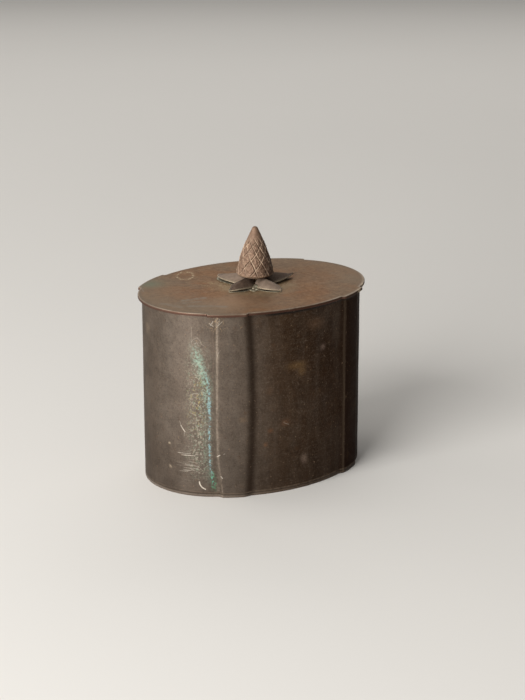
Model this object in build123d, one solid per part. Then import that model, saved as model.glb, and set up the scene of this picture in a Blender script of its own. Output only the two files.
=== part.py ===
"""Oval lidded sugar bowl in plated sheet metal, with a lobed wall and a pine-cone finial.

Frame: millimetres, +Z up, X along the oval's long axis, Y along its short axis.
The origin is the middle of the flat base, where the bowl stands.

The bowl is a strip of sheet bent to four lobes with a narrow raised pad at each corner, soldered
to a flat base plate. The lid is a flat plate of the same outline, larger all round, with a collar
below that drops into the bowl. A four-leaf calyx and a pine cone stand on the lid, and a stud from
the cone goes down through both to a washer and a square nut.
"""

import os
from math import atan2, cos, degrees, hypot, radians, sin

from build123d import *

# Outline of the wall, seen from above.
HALF_LENGTH = 62.2
HALF_WIDTH = 45.7
PAD_RISE = 1.7
WALL_STEP_RUN = 2.2
WALL_STEP_RADIUS = 1.8

# Corner pads: where each starts and ends, in degrees up from the long axis. They are hand formed.
BACK_RIGHT = 0
BACK_LEFT = 1
FRONT_LEFT = 2
FRONT_RIGHT = 3
WALL_PADS = {BACK_RIGHT: (36, 55), BACK_LEFT: (36, 55), FRONT_LEFT: (37.5, 56.5), FRONT_RIGHT: (34, 51.3)}
LID_PADS = {BACK_RIGHT: (29, 56), BACK_LEFT: (28, 55.5), FRONT_LEFT: (34.5, 55.5), FRONT_RIGHT: (35, 56)}

# Heights and sheet thicknesses.
BODY_HEIGHT = 100.0
BASE_SHEET = 1.4
WALL_SHEET = 0.9
LID_SHEET = 1.5
BASE_LEDGE = 0.4
BASE_EDGE_RADIUS = 0.35

# Lid: its overhang past the wall, and the collar under it.
LID_OVERHANG = 2.3
LID_STEP_RUN = 0.9
LID_STEP_RADIUS = 0.35
LID_EDGE_RADIUS = 0.4
COLLAR_DEPTH = 8.0
COLLAR_SHEET = 0.9
COLLAR_CLEARANCE = 0.5

# Finial: where its middle line stands. It was set by eye, a little off the middle of the lid.
FINIAL_X = 1.1
FINIAL_Y = -1.0

# Calyx: leaves bent down from a flat hub. Each has its direction in degrees and its length.
LEAVES = ((6, 26.5), (111, 24.8), (194, 19.7), (283, 19.0))
LEAF_HALF_WIDTH = 6.2
CALYX_HUB_RADIUS = 6.6
CALYX_HEIGHT = 5.6
CALYX_SHEET = 0.8

# Pine cone: heights are above its base.
CONE_GAP = 0.6
CONE_NECK_RADIUS = 5.0
CONE_HEIGHT = 26.1
CONE_BASE_RADIUS = 10.1
CONE_FOOT_RADIUS = 9.4
CONE_SHOULDER = 0.9
CONE_WAIST = (6.45, 13.8)
CONE_TIP_SIDE = (1.7, 25.0)

# Stud, washer and nut.
STUD_RADIUS = 1.6
STUD_CLEARANCE = 0.1
STUD_IN_CONE = 10.0
STUD_TAIL = 1.4
WASHER_RADIUS = 5.0
WASHER_SHEET = 0.8
NUT_WIDTH = 7.0
NUT_HEIGHT = 2.6
NUT_CORNER_RADIUS = 4.3

LID_UNDERSIDE = BODY_HEIGHT
LID_TOP = LID_UNDERSIDE + LID_SHEET
CALYX_TOP = LID_TOP + CALYX_HEIGHT
CONE_BASE = CALYX_TOP + CONE_GAP
WASHER_BASE = LID_UNDERSIDE - WASHER_SHEET
NUT_BASE = WASHER_BASE - NUT_HEIGHT
STUD_BASE = NUT_BASE - STUD_TAIL
STUD_TOP = CONE_BASE + STUD_IN_CONE


def oval_point(angle, grow):
    """A point on the oval, grown outwards by grow, at an angle from the long axis."""
    across = cos(radians(angle)) / (HALF_LENGTH + grow)
    along = sin(radians(angle)) / (HALF_WIDTH + grow)
    reach = 1 / hypot(across, along)
    return Vector(reach * cos(radians(angle)), reach * sin(radians(angle)))


def pad_angles(corner, span):
    """Turn a pad's start and end, counted from the long axis, into full-circle angles."""
    low, high = span
    if corner in (BACK_LEFT, FRONT_RIGHT):
        low, high = -high, -low
    half_turns = (corner + 1) // 2
    return 180 * half_turns + low, 180 * half_turns + high


def pad_points(start, end, grow, step_run):
    """The foot of a pad's first step, its top from end to end, and the foot of its last step."""
    half_turn_in = degrees(step_run / 2 / oval_point(start, grow).length)
    half_turn_out = degrees(step_run / 2 / oval_point(end, grow).length)
    return (
        oval_point(start - half_turn_in, grow),
        oval_point(start + half_turn_in, grow + PAD_RISE),
        oval_point((start + end) / 2, grow + PAD_RISE),
        oval_point(end - half_turn_out, grow + PAD_RISE),
        oval_point(end + half_turn_out, grow),
    )


def lobed_outline(pads, grow, step_run, step_radius):
    """A flat face with four lobes, four raised corner pads and small rounded steps between them."""
    pad_list = [
        pad_points(*pad_angles(corner, pads[corner]), grow, step_run) for corner in sorted(pads)
    ]
    edges = []
    for index, (low_in, high_in, high_mid, high_out, low_out) in enumerate(pad_list):
        lobe_middle = oval_point(90 * (index + 1), grow)
        next_low = pad_list[(index + 1) % len(pad_list)][0]
        edges.append(Line(low_in, high_in))
        edges.append(ThreePointArc(high_in, high_mid, high_out))
        edges.append(Line(high_out, low_out))
        edges.append(ThreePointArc(low_out, lobe_middle, next_low))
    face = make_face(edges)
    return fillet(face.vertices(), step_radius)


def wall_outline():
    """The wall's outer outline."""
    return lobed_outline(WALL_PADS, 0, WALL_STEP_RUN, WALL_STEP_RADIUS)


def plate(face, base, thickness):
    """Extrude a flat face upwards from a height."""
    return extrude(Pos(0, 0, base) * face, thickness)


def disc(radius, base, thickness):
    """A round plate on the finial's middle line."""
    return Pos(FINIAL_X, FINIAL_Y) * plate(Circle(radius), base, thickness)


def drilled(solid, radius, base, top):
    """Drill a vertical hole on the finial's middle line between two heights."""
    return solid - disc(radius, base, top - base)


def make_body_wall():
    """The bowl's side: one strip of sheet, closed on itself."""
    outer = wall_outline()
    inner = offset(outer, -WALL_SHEET)
    return plate(outer - inner, BASE_SHEET, BODY_HEIGHT - BASE_SHEET)


def make_base_plate():
    """The flat bottom, a little larger than the wall that stands on it."""
    solid = plate(offset(wall_outline(), BASE_LEDGE), 0, BASE_SHEET)
    return fillet(solid.edges().group_by(Axis.Z)[0], BASE_EDGE_RADIUS)


def make_lid_plate():
    """The flat lid, with rounded edges and a hole for the stud."""
    outline = lobed_outline(LID_PADS, LID_OVERHANG, LID_STEP_RUN, LID_STEP_RADIUS)
    solid = plate(outline, LID_UNDERSIDE, LID_SHEET)
    solid = fillet(solid.edges().group_by(Axis.Z)[-1], LID_EDGE_RADIUS)
    return drilled(solid, STUD_RADIUS + STUD_CLEARANCE, LID_UNDERSIDE, LID_TOP)


def make_lid_collar():
    """The strip under the lid that drops inside the wall and keeps the lid in place."""
    outer = offset(wall_outline(), -WALL_SHEET - COLLAR_CLEARANCE)
    inner = offset(outer, -COLLAR_SHEET)
    return plate(outer - inner, LID_UNDERSIDE - COLLAR_DEPTH, COLLAR_DEPTH)


def bent_leaf(turn, length):
    """One pointed leaf: flat over the hub, then bent down in a round curve to the lid."""
    bend_run = length + CALYX_SHEET - CALYX_HUB_RADIUS
    bend_radius = (bend_run**2 + CALYX_HEIGHT**2) / (2 * CALYX_HEIGHT)
    bend_turn = degrees(atan2(bend_run, bend_radius - CALYX_HEIGHT))
    bend_middle = (CALYX_HUB_RADIUS, CALYX_HEIGHT - bend_radius)
    upper = CenterArc(bend_middle, bend_radius, 90 - bend_turn, bend_turn)
    lower = CenterArc(bend_middle, bend_radius - CALYX_SHEET, 90 - bend_turn, bend_turn)
    side = make_face(
        [
            upper,
            Polyline(upper @ 1, (0, CALYX_HEIGHT), (0, CALYX_HEIGHT - CALYX_SHEET), lower @ 1),
            lower,
            Line(lower @ 0, upper @ 0),
        ]
    )
    strip = extrude(Plane.XZ * side, LEAF_HALF_WIDTH, both=True)
    planform = make_face(
        [
            ThreePointArc((0, 0), (length / 2, -LEAF_HALF_WIDTH), (length, 0)),
            ThreePointArc((length, 0), (length / 2, LEAF_HALF_WIDTH), (0, 0)),
        ]
    )
    return Rot(0, 0, turn) * (strip & plate(planform, 0, CALYX_HEIGHT))


def make_leaf_calyx():
    """Four leaves round a flat hub, all one sheet."""
    hub = plate(Circle(CALYX_HUB_RADIUS), CALYX_HEIGHT - CALYX_SHEET, CALYX_SHEET)
    for turn, length in LEAVES:
        hub += bent_leaf(turn, length)
    solid = Pos(FINIAL_X, FINIAL_Y, LID_TOP) * hub
    return drilled(solid, STUD_RADIUS + STUD_CLEARANCE, LID_TOP, CALYX_TOP)


def make_pine_cone():
    """The cone, with a short neck under it and a blind hole for the stud."""
    hole_radius = STUD_RADIUS + STUD_CLEARANCE
    tip_side_radius, tip_side_height = CONE_TIP_SIDE
    tip_drop = CONE_HEIGHT - tip_side_height
    tip_radius = (tip_side_radius**2 + tip_drop**2) / (2 * tip_drop)
    tip_turn = degrees(atan2(tip_radius - tip_drop, tip_side_radius))
    tip = CenterArc((0, CONE_HEIGHT - tip_radius), tip_radius, tip_turn, 90 - tip_turn)
    profile = make_face(
        [
            ThreePointArc((CONE_BASE_RADIUS, CONE_SHOULDER), CONE_WAIST, CONE_TIP_SIDE),
            tip,
            Polyline(
                (0, CONE_HEIGHT),
                (0, STUD_IN_CONE),
                (hole_radius, STUD_IN_CONE),
                (hole_radius, -CONE_GAP),
                (CONE_NECK_RADIUS, -CONE_GAP),
                (CONE_NECK_RADIUS, 0),
                (CONE_FOOT_RADIUS, 0),
                (CONE_BASE_RADIUS, CONE_SHOULDER),
            ),
        ]
    )
    return Pos(FINIAL_X, FINIAL_Y, CONE_BASE) * revolve(Plane.XZ * profile, Axis.Z)


def make_finial_stud():
    """The rod from inside the cone to below the nut."""
    return disc(STUD_RADIUS, STUD_BASE, STUD_TOP - STUD_BASE)


def make_stud_washer():
    """The round washer against the underside of the lid."""
    solid = disc(WASHER_RADIUS, WASHER_BASE, WASHER_SHEET)
    return drilled(solid, STUD_RADIUS + STUD_CLEARANCE, WASHER_BASE, LID_UNDERSIDE)


def make_stud_nut():
    """The square nut, with its corners turned off."""
    outline = Rectangle(NUT_WIDTH, NUT_WIDTH) & Circle(NUT_CORNER_RADIUS)
    solid = Pos(FINIAL_X, FINIAL_Y) * plate(outline, NUT_BASE, NUT_HEIGHT)
    return drilled(solid, STUD_RADIUS, NUT_BASE, WASHER_BASE)


PARTS = {
    "body_wall": make_body_wall,
    "base_plate": make_base_plate,
    "lid_plate": make_lid_plate,
    "lid_collar": make_lid_collar,
    "leaf_calyx": make_leaf_calyx,
    "pine_cone": make_pine_cone,
    "finial_stud": make_finial_stud,
    "stud_washer": make_stud_washer,
    "stud_nut": make_stud_nut,
}

os.makedirs("parts", exist_ok=True)
for name, make in PARTS.items():
    export_step(make(), f"parts/{name}.step")
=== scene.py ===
"""The looks of the lidded sugar bowl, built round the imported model. Lengths are in metres."""

import math

import bpy
import numpy as np
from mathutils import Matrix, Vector, noise


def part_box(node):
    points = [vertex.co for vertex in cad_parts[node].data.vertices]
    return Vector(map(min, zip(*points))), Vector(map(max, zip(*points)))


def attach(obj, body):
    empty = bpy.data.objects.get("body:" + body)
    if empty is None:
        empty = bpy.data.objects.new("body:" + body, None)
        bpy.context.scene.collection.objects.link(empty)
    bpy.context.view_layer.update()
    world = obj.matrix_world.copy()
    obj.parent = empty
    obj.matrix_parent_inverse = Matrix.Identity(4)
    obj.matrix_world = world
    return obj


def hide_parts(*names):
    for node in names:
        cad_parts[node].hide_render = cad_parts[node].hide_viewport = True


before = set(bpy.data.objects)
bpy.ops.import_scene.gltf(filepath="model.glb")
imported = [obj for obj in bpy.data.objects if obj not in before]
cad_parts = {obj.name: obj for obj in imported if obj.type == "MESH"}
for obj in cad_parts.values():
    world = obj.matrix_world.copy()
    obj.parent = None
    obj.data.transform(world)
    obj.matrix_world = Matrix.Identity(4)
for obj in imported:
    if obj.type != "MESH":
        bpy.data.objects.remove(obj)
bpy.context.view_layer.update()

MM = 0.001

# ---------------------------------------------------------------- sizes taken from the frame

WALL_LOW, WALL_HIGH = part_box("body_wall")
BASE_LOW, BASE_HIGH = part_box("base_plate")
LID_LOW, LID_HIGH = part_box("lid_plate")
COLLAR_LOW, COLLAR_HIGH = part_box("lid_collar")
CALYX_LOW, CALYX_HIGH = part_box("leaf_calyx")
CONE_LOW, CONE_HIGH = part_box("pine_cone")
STUD_LOW, STUD_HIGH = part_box("finial_stud")
WASHER_LOW, WASHER_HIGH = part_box("stud_washer")
NUT_LOW, NUT_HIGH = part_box("stud_nut")
FINIAL = (STUD_LOW + STUD_HIGH) / 2
FINIAL_AT = np.array([FINIAL.x, FINIAL.y])

LID_GROW = LID_HIGH.x - WALL_HIGH.x
HALF_LENGTH = WALL_HIGH.x
HALF_WIDTH = WALL_HIGH.y
# The radius of the hole that the stud goes through.
STUD_HOLE = 1.7 * MM

# The lobed outline's own form, as the CAD draws it: four raised corner pads, in degrees up from
# the long axis, in the order back right, back left, front left, front right.
PAD_RISE = 1.7 * MM
WALL_PADS = ((36, 55), (36, 55), (37.5, 56.5), (34, 51.3))
LID_PADS = ((29, 56), (28, 55.5), (34.5, 55.5), (35, 56))
FRONT_LEFT = 2
STEP_RUN = 2.2 * MM
SOFT_STEP_RUN = 3.6 * MM
WALL_STEP_RUNS = (
    (STEP_RUN, STEP_RUN),
    (STEP_RUN, STEP_RUN),
    (STEP_RUN, SOFT_STEP_RUN),
    (STEP_RUN, STEP_RUN),
)
LID_STEP_RUNS = ((0.9 * MM, 0.9 * MM),) * 4
WALL_STEP_SOFTNESS = 0.7 * MM
LID_STEP_SOFTNESS = 0.3 * MM
WALL_SHEET = 0.9 * MM
COLLAR_SHEET = 0.9 * MM
COLLAR_CLEARANCE = 0.5 * MM
SEAM_X = -6 * MM


# ---------------------------------------------------------------- numbers and noise


def field(points, size, seed):
    """Smooth noise, about -1 to 1, whose waves are about size long."""
    shift = Vector((seed * 17.31, seed * 5.77, seed * 9.13))
    return np.array([noise.noise(Vector(p) / size + shift) for p in points])


def smoothstep(values, low, high):
    """0 below low, 1 above high, and smooth between."""
    t = np.clip((np.asarray(values, float) - low) / (high - low), 0, 1)
    return t * t * (3 - 2 * t)


def hump(values, middle, width):
    """1 at middle, falling smoothly to 0 a few widths away."""
    return np.exp(-(((np.asarray(values, float) - middle) / width) ** 2))


def full_turn(count):
    """Angles in radians, spaced evenly all the way round."""
    return np.linspace(0, 2 * math.pi, count, endpoint=False)


def on_circle(turns, radius=1.0):
    """Points at some angles, at one radius or at a radius for each."""
    return np.stack([radius * np.cos(turns), radius * np.sin(turns)], 1)


def at_height(flat, height):
    """Points of a plan set at one height, or at a height for each."""
    return np.column_stack([flat, np.broadcast_to(height, len(flat))])


# ---------------------------------------------------------------- the lobed outline


def oval_point(angle, grow):
    """A point on the oval, grown outwards, at an angle in degrees from the long axis."""
    turn = math.radians(angle)
    across = math.cos(turn) / (HALF_LENGTH + grow)
    along = math.sin(turn) / (HALF_WIDTH + grow)
    reach = 1 / math.hypot(across, along)
    return reach * np.array([math.cos(turn), math.sin(turn)])


def line_points(first, last, step):
    """Points from first up to last."""
    count = max(2, int(np.linalg.norm(last - first) / step))
    return first + (last - first) * np.linspace(0, 1, count, endpoint=False)[:, None]


def arc_points(first, through, last, step):
    """Points of the arc through three points, counterclockwise from first up to last."""
    side_a, side_b = through - first, last - first
    twice_area = 2 * (side_a[0] * side_b[1] - side_a[1] * side_b[0])
    square_a, square_b = side_a @ side_a, side_b @ side_b
    offset_x = (side_b[1] * square_a - side_a[1] * square_b) / twice_area
    offset_y = (side_a[0] * square_b - side_b[0] * square_a) / twice_area
    middle = first + np.array([offset_x, offset_y])
    radius = math.hypot(offset_x, offset_y)
    start = math.atan2(*(first - middle)[::-1])
    end = math.atan2(*(last - middle)[::-1])
    if end < start:
        end += 2 * math.pi
    turns = np.linspace(start, end, max(2, int((end - start) * radius / step)), endpoint=False)
    return middle + on_circle(turns, radius)


def evenly(points, count):
    """A closed line's points, spaced evenly, and its length."""
    closed = np.vstack([points, points[:1]])
    run = np.concatenate([[0], np.cumsum(np.linalg.norm(np.diff(closed, axis=0), axis=1))])
    wanted = np.linspace(0, run[-1], count, endpoint=False)
    spaced = [np.interp(wanted, run, closed[:, axis]) for axis in (0, 1)]
    return np.stack(spaced, 1), run[-1]


# How finely the outline is drawn, and then spaced, before it is smoothed.
FINE_STEP = 0.05 * MM
FINE_COUNT = 8192


def lobed_ring(pads, grow, step_runs, softness, count):
    """Points and outward normals of the lobed outline, spaced evenly, and its length."""
    corners = []
    for corner, (low, high) in enumerate(pads):
        if corner % 2:
            low, high = -high, -low
        run_in, run_out = step_runs[corner]
        long_axis = 180 * ((corner + 1) // 2)
        start, end = long_axis + low, long_axis + high
        turn_in = math.degrees(run_in / 2 / np.linalg.norm(oval_point(start, grow)))
        turn_out = math.degrees(run_out / 2 / np.linalg.norm(oval_point(end, grow)))
        low_in, low_out = oval_point(start - turn_in, grow), oval_point(end + turn_out, grow)
        raised = (start + turn_in, (start + end) / 2, end - turn_out)
        corners.append((low_in, *[oval_point(angle, grow + PAD_RISE) for angle in raised], low_out))
    stretches = []
    for corner, (low_in, high_in, high_mid, high_out, low_out) in enumerate(corners):
        lobe_mid = oval_point(90 * (corner + 1), grow)
        next_low = corners[(corner + 1) % len(corners)][0]
        stretches.append(line_points(low_in, high_in, FINE_STEP))
        stretches.append(arc_points(high_in, high_mid, high_out, FINE_STEP))
        stretches.append(line_points(high_out, low_out, FINE_STEP))
        stretches.append(arc_points(low_out, lobe_mid, next_low, FINE_STEP))
    points, length = evenly(np.concatenate(stretches), FINE_COUNT)
    waves = np.fft.fft(points[:, 0] + 1j * points[:, 1])
    pace = np.fft.fftfreq(len(points), length / len(points))
    smooth = np.fft.ifft(waves * np.exp(-2 * (math.pi * pace * softness) ** 2))
    points, length = evenly(np.stack([smooth.real, smooth.imag], 1), count)
    ahead = np.roll(points, -1, 0) - np.roll(points, 1, 0)
    normals = np.stack([ahead[:, 1], -ahead[:, 0]], 1)
    normals /= np.linalg.norm(normals, axis=1)[:, None]
    return points, normals, length


def ring_bend(normals, length):
    """Curvature at each point of a ring, in 1/m, positive where it is convex."""
    ahead = np.roll(normals, -1, 0)
    turn = normals[:, 0] * ahead[:, 1] - normals[:, 1] * ahead[:, 0]
    return turn * len(normals) / length


def run_from(points, length, degrees):
    """Signed distance round the ring from the point at an angle from the middle."""
    angles = np.degrees(np.arctan2(points[:, 1], points[:, 0]))
    start = np.argmin(np.abs(angles - degrees))
    run = (np.arange(len(points)) - start) * length / len(points)
    return (run + length / 2) % length - length / 2


# ---------------------------------------------------------------- mesh helpers


def new_mesh(name, points, faces):
    """A smooth-shaded mesh object."""
    mesh = bpy.data.meshes.new(name)
    mesh.from_pydata([tuple(p) for p in points], [], faces)
    mesh.polygons.foreach_set("use_smooth", [True] * len(mesh.polygons))
    mesh.update()
    made = bpy.data.objects.new(name, mesh)
    bpy.context.scene.collection.objects.link(made)
    return made


def set_attribute(piece, name, values):
    """Store one number for each point, for the materials to read."""
    attribute = piece.data.attributes.new(name, "FLOAT", "POINT")
    attribute.data.foreach_set("value", np.ascontiguousarray(values, np.float32).ravel())


def loft(name, rings, closed=False, cap_start=False, cap_end=False):
    """Skin closed rings of points into one mesh. closed joins the last ring to the first."""
    count = len(rings[0])
    points = np.concatenate(rings)
    faces = []
    for row in range(len(rings) if closed else len(rings) - 1):
        below, above = row * count, ((row + 1) % len(rings)) * count
        for column in range(count):
            beside = (column + 1) % count
            faces.append((below + column, below + beside, above + beside, above + column))
    ends = []
    if cap_start:
        ends.append((0, rings[0], True))
    if cap_end:
        ends.append(((len(rings) - 1) * count, rings[-1], False))
    for first, ring, backwards in ends:
        middle = len(points)
        points = np.vstack([points, ring.mean(0)])
        for column in range(count):
            here, beside = first + column, first + (column + 1) % count
            faces.append((beside, here, middle) if backwards else (here, beside, middle))
    return new_mesh(name, points, faces)


def join(name, parts):
    """Join several mesh objects into the first one."""
    chosen = {"selected_editable_objects": parts, "selected_objects": parts}
    with bpy.context.temp_override(active_object=parts[0], **chosen):
        bpy.ops.object.join()
    parts[0].name = name
    parts[0].data.name = name
    return parts[0]


def turned(profile, turns):
    """Rings round the finial's middle line. A row's radius may be one number or one for each angle."""
    return [at_height(FINIAL_AT + on_circle(turns, radius), height) for radius, height in profile]


def quarter(middle, radius, start, end, count=5):
    """Points of a rounded corner, as (across, height), between two angles in degrees."""
    turns = np.radians(np.linspace(start, end, count))
    return [(middle[0] + radius * math.cos(t), middle[1] + radius * math.sin(t)) for t in turns]


# ---------------------------------------------------------------- material helpers


def colour(red, green, blue):
    """A colour given as it looks on a screen, 0 to 255, turned into linear light."""
    shown = np.array([red, green, blue]) / 255
    linear = np.where(shown <= 0.04045, shown / 12.92, ((shown + 0.055) / 1.055) ** 2.4)
    return (*[float(v) for v in linear], 1.0)


class Level:
    """A node socket. A number that varies over a surface can be added, taken away and multiplied."""

    def __init__(self, paint, socket):
        self.paint = paint
        self.socket = socket

    def __mul__(self, other):
        return self.paint.maths("MULTIPLY", self, other)

    def __add__(self, other):
        return self.paint.maths("ADD", self, other)

    def __sub__(self, other):
        return self.paint.maths("SUBTRACT", self, other)

    def __rsub__(self, other):
        return self.paint.maths("SUBTRACT", other, self)

    __rmul__ = __mul__
    __radd__ = __add__


class Paint:
    """One node material, in millimetres. tint is its colour so far, and coat lays colour over it."""

    def __init__(self, name):
        self.material = bpy.data.materials.new(name)
        self.material.use_nodes = True
        self.tree = self.material.node_tree
        self.tree.nodes.clear()
        self.place = Level(self, self.node("ShaderNodeTexCoord").outputs["Object"])
        measured = self.vector("SCALE", {0: self.place, "Scale": 1 / MM})
        axes = self.node("ShaderNodeSeparateXYZ", {"Vector": measured}).outputs
        self.x, self.y, self.z = [Level(self, axes[name]) for name in "XYZ"]
        self.tint = None

    def node(self, kind, inputs=None, **settings):
        made = self.tree.nodes.new(kind)
        for key, value in settings.items():
            setattr(made, key, value)
        for key, value in (inputs or {}).items():
            if isinstance(value, Level):
                self.tree.links.new(value.socket, made.inputs[key])
            else:
                made.inputs[key].default_value = value
        return made

    def vector(self, operation, inputs, result=0):
        made = self.node("ShaderNodeVectorMath", inputs, operation=operation)
        return Level(self, made.outputs[result])

    def attribute(self, name):
        return Level(self, self.node("ShaderNodeAttribute", attribute_name=name).outputs["Fac"])

    def maths(self, operation, first, second=0.0, clamp=False):
        inputs = {0: first, 1: second}
        made = self.node("ShaderNodeMath", inputs, operation=operation, use_clamp=clamp)
        return Level(self, made.outputs[0])

    def clamped(self, value):
        """The value kept between 0 and 1."""
        return self.maths("ADD", value, 0.0, clamp=True)

    def most(self, *values):
        result = values[0]
        for value in values[1:]:
            result = self.maths("MAXIMUM", result, value)
        return result

    def step(self, value, low, high, low_result=0.0, high_result=1.0):
        """low_result on low's side, high_result on high's side, and smooth between."""
        inputs = {0: value, 1: low, 2: high, 3: low_result, 4: high_result}
        made = self.node("ShaderNodeMapRange", inputs, interpolation_type="SMOOTHSTEP")
        return Level(self, made.outputs[0])

    def near(self, value, middle, width):
        """1 where value is at middle, falling to 0 a width away."""
        return self.step(self.maths("ABSOLUTE", value - middle), width, 0.0)

    def noise(self, size, detail=3.0, roughness=0.55, stretch=(1, 1, 1), seed=0.0, warp=0.0):
        """Noise from 0 to 1, whose waves are about size long."""
        shift = {"Vector": self.place, "Location": (seed, seed * 0.7, -seed), "Scale": stretch}
        inputs = {
            "Vector": Level(self, self.node("ShaderNodeMapping", shift).outputs[0]),
            "Scale": 1 / (size * MM),
            "Detail": detail,
            "Roughness": roughness,
            "Distortion": warp,
        }
        return Level(self, self.node("ShaderNodeTexNoise", inputs, normalize=True).outputs["Fac"])

    def spots(self, size, share, seed=0.0, soft=0.08):
        """Small irregular spots that cover about a share of the surface."""
        edge = 0.5 + 0.16 * (1 - 2 * share)
        return self.step(self.noise(size, 4.0, 0.65, seed=seed), edge, edge + soft)

    def mix(self, factor, first, second):
        inputs = {0: factor, 6: first, 7: second}
        return Level(self, self.node("ShaderNodeMix", inputs, data_type="RGBA").outputs[2])

    def two_tone(self, pattern, first, second, low=0.3, high=0.7):
        """A colour that runs from first to second with a noise pattern."""
        return self.mix(self.step(pattern, low, high), colour(*first), colour(*second))

    def coat(self, shade, factor):
        """Lay a colour, given as red, green and blue or as a socket, over the tint."""
        over = shade if isinstance(shade, Level) else colour(*shade)
        self.tint = self.mix(factor, self.tint, over)

    def stroke(self, across, up, points, width):
        """A scratch along a line of points in the plane of two sockets."""
        flat = Level(self, self.node("ShaderNodeCombineXYZ", {0: across, 1: up}).outputs[0])
        nearest = None
        for first, last in zip(points, points[1:]):
            span = Vector((last[0] - first[0], last[1] - first[1], 0))
            away_from = self.vector("SUBTRACT", {0: flat, 1: (*first, 0)})
            inputs = {0: away_from, 1: span / span.length_squared}
            share = self.clamped(self.vector("DOT_PRODUCT", inputs, "Value"))
            foot = self.vector("SCALE", {0: span, "Scale": share})
            gap = self.vector("DISTANCE", {0: away_from, 1: foot}, "Value")
            nearest = gap if nearest is None else self.maths("MINIMUM", nearest, gap)
        return self.step(nearest, width, width * 0.3)

    def strokes(self, across, up, lines):
        """Several scratches: each is (width, strength, points)."""
        return self.most(*[self.stroke(across, up, line, width) * s for width, s, line in lines])

    def bump(self, *layers):
        """A normal from layers of relief: each is (height from 0 to 1, depth)."""
        height = sum(level * depth for level, depth in layers)
        bumps = self.node("ShaderNodeBump", {"Height": height, "Distance": MM})
        return Level(self, bumps.outputs[0])

    def finish(self, metal, roughness, normal, specular=0.5, edge_tint=1.0):
        """Close the material with a shader and give it back. edge_tint dims grazing reflections."""
        inputs = {
            "Base Color": self.tint,
            "Metallic": metal,
            "Roughness": roughness,
            "Normal": normal,
            "Specular IOR Level": specular,
            "Specular Tint": (edge_tint, edge_tint, edge_tint, 1.0),
        }
        shader = self.node("ShaderNodeBsdfPrincipled", inputs)
        self.node("ShaderNodeOutputMaterial", {"Surface": Level(self, shader.outputs[0])})
        return self.material


# ---------------------------------------------------------------- materials


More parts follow.
